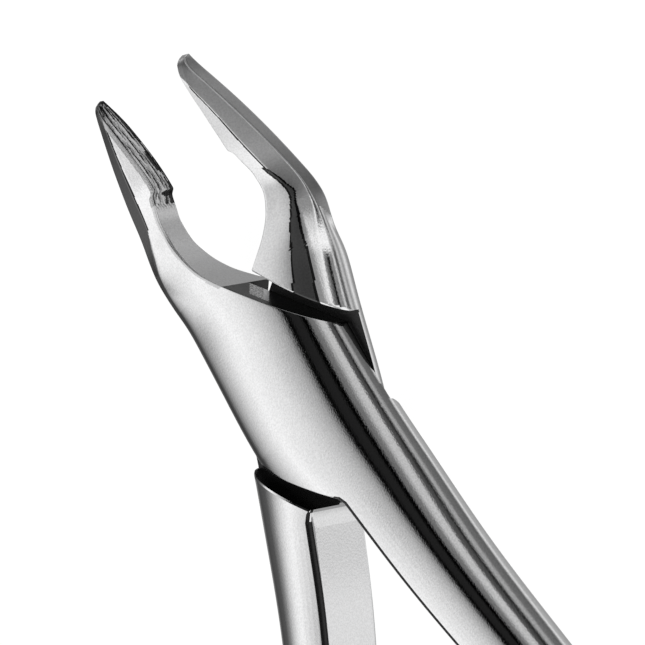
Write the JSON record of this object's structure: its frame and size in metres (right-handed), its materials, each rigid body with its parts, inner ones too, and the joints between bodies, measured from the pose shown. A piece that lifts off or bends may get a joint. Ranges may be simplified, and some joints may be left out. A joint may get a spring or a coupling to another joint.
{
  "type": "dental extraction forceps",
  "caption": "Polished steel extraction forceps with two serrated beaks, a lap joint on a flush rivet and long bowed handles.",
  "frame": {"origin": "on the hinge axis at the joint's flat back face, which is the face the forceps lies on", "axes": "+Z along the hinge axis towards the front, +Y towards the beaks, +X to the side of the front half's handle"},
  "size_m": [0.0724, 0.1719, 0.0122],
  "materials": {
    "polished_steel": "mirror polished stainless steel with fine polishing marks",
    "rivet_steel": "ground and polished stainless steel"
  },
  "bodies": {
    "rear_half": {"rear_half": "polished_steel", "pivot_rivet": "rivet_steel"},
    "front_half": {"front_half": "polished_steel"}
  },
  "joints": [
    {"name": "pivot", "type": "hinge", "parent": "rear_half", "child": "front_half", "pos_m": [0, 0, 0], "axis": [0, 0, 1], "range_deg": [-14.5, 8]}
  ]
}
